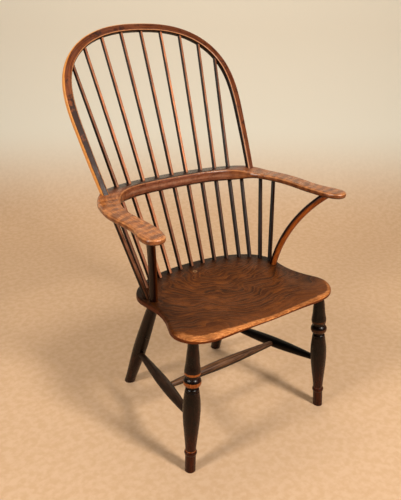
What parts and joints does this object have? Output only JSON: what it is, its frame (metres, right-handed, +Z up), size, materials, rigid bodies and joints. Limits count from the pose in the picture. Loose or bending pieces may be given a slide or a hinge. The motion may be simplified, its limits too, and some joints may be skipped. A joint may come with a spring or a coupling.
{
  "type": "windsor chair",
  "caption": "High-backed Windsor armchair with a bent hoop and spindle back, a bent arm bow on crook supports, a saddled wooden seat, turned legs and swelled stretchers.",
  "frame": {"origin": "on the floor, at the middle of the chair's outline in plan", "axes": "+Z up, +Y towards the back of the chair, +X to the right seen from the front"},
  "size_m": [0.6422, 0.6404, 1.0649],
  "materials": {
    "seat_elm": "waxed elm, worn pale along the front edge",
    "arm_wood": "waxed, worn paler on top",
    "hoop_wood": "waxed, satin",
    "spindle_wood": "stained dark, rubbed paler in front",
    "leg_wood": "stained dark, worn on the rings",
    "stretcher_wood": "stained dark, satin",
    "support_wood": "stained, satin"
  },
  "bodies": {
    "root": {"arm_bow": "arm_wood", "arm_support_left": "support_wood", "arm_support_right": "support_wood", "back_hoop": "hoop_wood", "cross_stretcher": "stretcher_wood", "front_leg_left": "leg_wood", "front_leg_right": "leg_wood", "long_spindle_left_1": "spindle_wood", "long_spindle_left_2": "spindle_wood", "long_spindle_left_3": "spindle_wood", "long_spindle_left_4": "spindle_wood", "long_spindle_middle": "spindle_wood", "long_spindle_right_1": "spindle_wood", "long_spindle_right_2": "spindle_wood", "long_spindle_right_3": "spindle_wood", "long_spindle_right_4": "spindle_wood", "rear_leg_left": "leg_wood", "rear_leg_right": "leg_wood", "seat": "seat_elm", "short_spindle_left_1": "spindle_wood", "short_spindle_left_2": "spindle_wood", "short_spindle_left_3": "spindle_wood", "short_spindle_right_1": "spindle_wood", "short_spindle_right_2": "spindle_wood", "short_spindle_right_3": "spindle_wood", "side_stretcher_left": "stretcher_wood", "side_stretcher_right": "stretcher_wood"}
  },
  "joints": []
}
